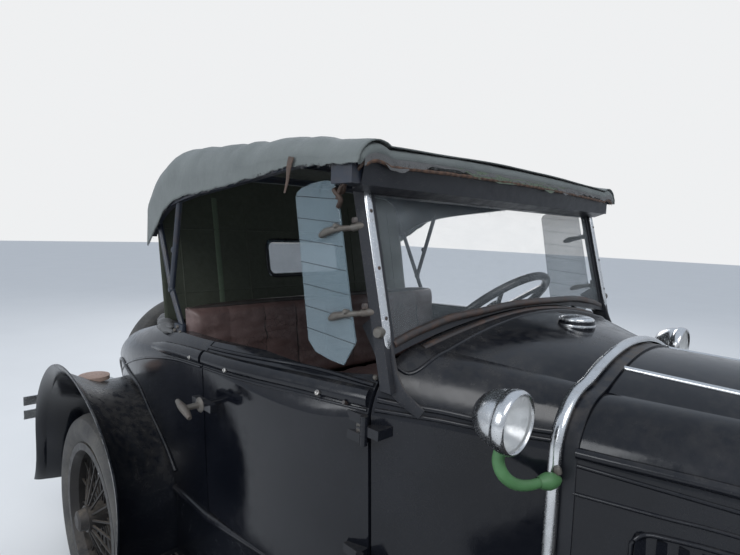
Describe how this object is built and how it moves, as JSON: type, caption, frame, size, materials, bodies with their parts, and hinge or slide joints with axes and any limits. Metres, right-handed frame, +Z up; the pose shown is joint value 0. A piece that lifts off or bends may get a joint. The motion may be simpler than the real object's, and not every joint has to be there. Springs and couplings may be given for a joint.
{
  "type": "open roadster car",
  "caption": "Two-door open roadster with a fabric top, wire-spoke wheels, long crowned fenders, rumble seat and rear spare wheel.",
  "frame": {"origin": "centre of the bounding box's footprint on the ground", "axes": "+Y rearward along the length, +Z up, X across"},
  "size_m": [1.681, 4.2067, 1.6574],
  "materials": {
    "black_paint": "worn gloss",
    "chassis_steel": "satin",
    "engine_iron": "matte",
    "chrome": "polished",
    "core_brass": "satin",
    "glass": "clear",
    "top_fabric": "weathered",
    "seat_leather": "cracked",
    "floor_wood": "matte",
    "tyre_rubber": "dusty",
    "wheel_paint": "satin",
    "wheel_rim": "gloss",
    "rubber_pads": "matte"
  },
  "bodies": {
    "chassis": {"body_rear": "black_paint", "chassis_frame": "chassis_steel", "cowl": "black_paint", "cowl_band": "chrome", "cowl_lamps": "chrome", "dash_panel": "chassis_steel", "engine": "engine_iron", "exhaust": "chassis_steel", "floor": "floor_wood", "floor_controls": "chassis_steel", "front_axle": "chassis_steel", "front_bumper": "chrome", "front_fenders": "black_paint", "fuel_tank": "black_paint", "headlamps": "chrome", "hood_centre": "black_paint", "radiator_core": "core_brass", "radiator_shell": "chrome", "rear_axle": "chassis_steel", "rear_bumpers": "chrome", "rear_curtain": "top_fabric", "rear_fenders": "black_paint", "rear_window": "glass", "rumble_seat_cushion": "seat_leather", "running_boards": "black_paint", "seat_back": "seat_leather", "seat_cushion": "seat_leather", "spare_carrier": "chassis_steel", "springs": "chassis_steel", "steering_column": "chassis_steel", "step_pad": "rubber_pads", "tail_lamp": "chrome", "top_bows": "chassis_steel", "top_cover": "top_fabric", "tyre_spare": "tyre_rubber", "wheel_spare": "wheel_paint", "wind_wings": "glass", "windshield_frame": "chassis_steel", "windshield_glass": "glass", "windshield_posts": "chassis_steel"},
    "steer_left_body": {"knuckle_left": "chassis_steel"},
    "steer_right_body": {"knuckle_right": "chassis_steel"},
    "tie_rod_body": {"tie_rod": "chassis_steel"},
    "wheel_front_left_body": {"wheel_front_left": "wheel_paint", "tyre_front_left": "tyre_rubber"},
    "wheel_front_right_body": {"wheel_front_right": "wheel_paint", "tyre_front_right": "tyre_rubber"},
    "wheel_rear_left_body": {"wheel_rear_left": "wheel_paint", "tyre_rear_left": "tyre_rubber"},
    "wheel_rear_right_body": {"wheel_rear_right": "wheel_paint", "tyre_rear_right": "tyre_rubber"},
    "door_left_body": {"door_left": "black_paint"},
    "door_right_body": {"door_right": "black_paint"},
    "hood_left_body": {"hood_top_left": "black_paint"},
    "hood_right_body": {"hood_top_right": "black_paint"},
    "hood_side_left_body": {"hood_side_left": "black_paint"},
    "hood_side_right_body": {"hood_side_right": "black_paint"},
    "rumble_body": {"rumble_lid": "black_paint", "rumble_seat_back": "seat_leather"},
    "steering_wheel_body": {"steering_wheel": "wheel_rim"}
  },
  "joints": [
    {"name": "steer_left", "type": "hinge", "parent": "chassis", "child": "steer_left_body", "pos_m": [0.6, -1.575, 0.362], "axis": [0, 0, 1], "range_deg": [-30, 30]},
    {"name": "steer_right", "type": "hinge", "parent": "chassis", "child": "steer_right_body", "pos_m": [-0.6, -1.575, 0.362], "axis": [0, 0, 1], "range_deg": [-30, 30]},
    {"name": "tie_rod_pivot", "type": "hinge", "parent": "steer_left_body", "child": "tie_rod_body", "pos_m": [0.6, -1.445, 0.387], "axis": [0, 0, 1], "range_deg": [-30, 30]},
    {"name": "steering_wheel_turn", "type": "hinge", "parent": "chassis", "child": "steering_wheel_body", "pos_m": [0.32, 0.12, 1.14], "axis": [0, 0.6691, 0.7431], "range_deg": [-340, 340]},
    {"name": "spin_front_left", "type": "hinge", "parent": "steer_left_body", "child": "wheel_front_left_body", "pos_m": [0.711, -1.575, 0.362], "axis": [1, 0, 0], "continuous": true},
    {"name": "spin_front_right", "type": "hinge", "parent": "steer_right_body", "child": "wheel_front_right_body", "pos_m": [-0.711, -1.575, 0.362], "axis": [1, 0, 0], "continuous": true},
    {"name": "spin_rear_left", "type": "hinge", "parent": "chassis", "child": "wheel_rear_left_body", "pos_m": [0.711, 1.054, 0.362], "axis": [1, 0, 0], "continuous": true},
    {"name": "spin_rear_right", "type": "hinge", "parent": "chassis", "child": "wheel_rear_right_body", "pos_m": [-0.711, 1.054, 0.362], "axis": [1, 0, 0], "continuous": true},
    {"name": "door_left_swing", "type": "hinge", "parent": "chassis", "child": "door_left_body", "pos_m": [0.592, -0.15, 0.86], "axis": [0, 0, -1], "range_deg": [0, 70]},
    {"name": "door_right_swing", "type": "hinge", "parent": "chassis", "child": "door_right_body", "pos_m": [-0.592, -0.15, 0.86], "axis": [0, 0, 1], "range_deg": [0, 70]},
    {"name": "hood_left_lift", "type": "hinge", "parent": "chassis", "child": "hood_left_body", "pos_m": [0.155, -0.94, 1.12492], "axis": [0, -0.9998, -0.018], "range_deg": [0, 80]},
    {"name": "hood_right_lift", "type": "hinge", "parent": "chassis", "child": "hood_right_body", "pos_m": [-0.155, -0.94, 1.12492], "axis": [0, 0.9998, 0.018], "range_deg": [0, 80]},
    {"name": "hood_side_left_fold", "type": "hinge", "parent": "hood_left_body", "child": "hood_side_left_body", "pos_m": [0.2938, -0.94, 0.988], "axis": [-0.1487, -0.9889, 0], "range_deg": [0, 80]},
    {"name": "hood_side_right_fold", "type": "hinge", "parent": "hood_right_body", "child": "hood_side_right_body", "pos_m": [-0.2938, -0.94, 0.988], "axis": [-0.1487, 0.9889, 0], "range_deg": [0, 80]},
    {"name": "rumble_lid_open", "type": "hinge", "parent": "chassis", "child": "rumble_body", "pos_m": [0, 1.6, 0.8695], "axis": [-1, 0, 0], "range_deg": [0, 85]}
  ],
  "couplings": [
    {"joint": "steer_right", "follows": "steer_left", "ratio": 1},
    {"joint": "tie_rod_pivot", "follows": "steer_left", "ratio": -1},
    {"joint": "steering_wheel_turn", "follows": "steer_left", "ratio": 11.25}
  ]
}
